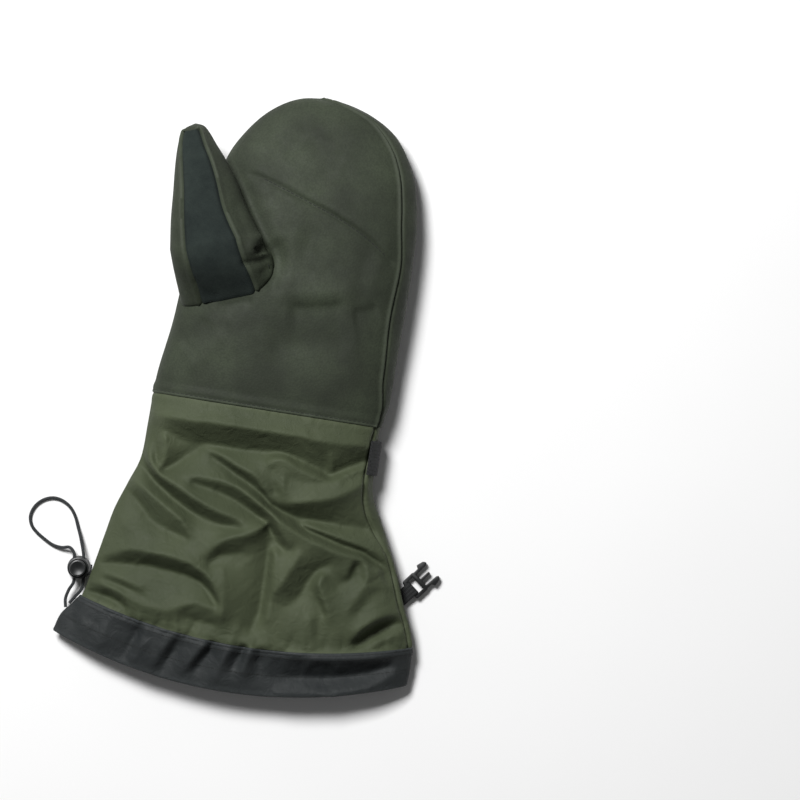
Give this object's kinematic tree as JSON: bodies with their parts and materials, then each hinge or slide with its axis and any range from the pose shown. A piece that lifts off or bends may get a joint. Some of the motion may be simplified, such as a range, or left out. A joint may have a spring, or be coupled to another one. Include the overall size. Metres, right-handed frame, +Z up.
{
  "type": "expedition mitten",
  "caption": "Left-hand expedition mitten with a leather palm, separate thumb, long nylon cuff, wrist strap, drawcord with cord lock and clip plug, lying palm up.",
  "frame": {"origin": "middle of the flat that the back of the hand rests on, on the underside", "axes": "+X towards the little finger, +Y towards the fingertips, +Z up out of the palm"},
  "size_m": [0.2762, 0.3977, 0.0686],
  "materials": {
    "leather": "dark olive goat leather, matt",
    "suede": "dark grey suede, napped",
    "nylon": "olive green plain-woven nylon",
    "hem_nylon": "blue-black woven nylon",
    "webbing": "black woven tape",
    "cord": "black braided cord",
    "acetal": "black moulded plastic, satin"
  },
  "bodies": {
    "root": {"palm_panel": "leather", "side_gusset": "leather", "fingertip_cap": "leather", "back_welt": "leather", "back_panel": "nylon", "gauntlet_front": "nylon", "hem": "hem_nylon", "thumb_shell": "leather", "thumb_pad": "suede", "wrist_strap": "webbing", "ring_tab": "webbing", "strap_ring": "acetal", "drawcord": "cord", "cord_lock_barrel": "acetal", "cord_lock_tab": "webbing", "clip_webbing": "webbing", "clip_plug": "acetal"},
    "lock_button": {"cord_lock_button": "acetal"}
  },
  "joints": [
    {"name": "button_press", "type": "slide", "parent": "root", "child": "lock_button", "axis": [0, 0, -1], "range_m": [0, 0.0035], "stiffness_N_per_m": 300, "springref_m": -0.002}
  ]
}
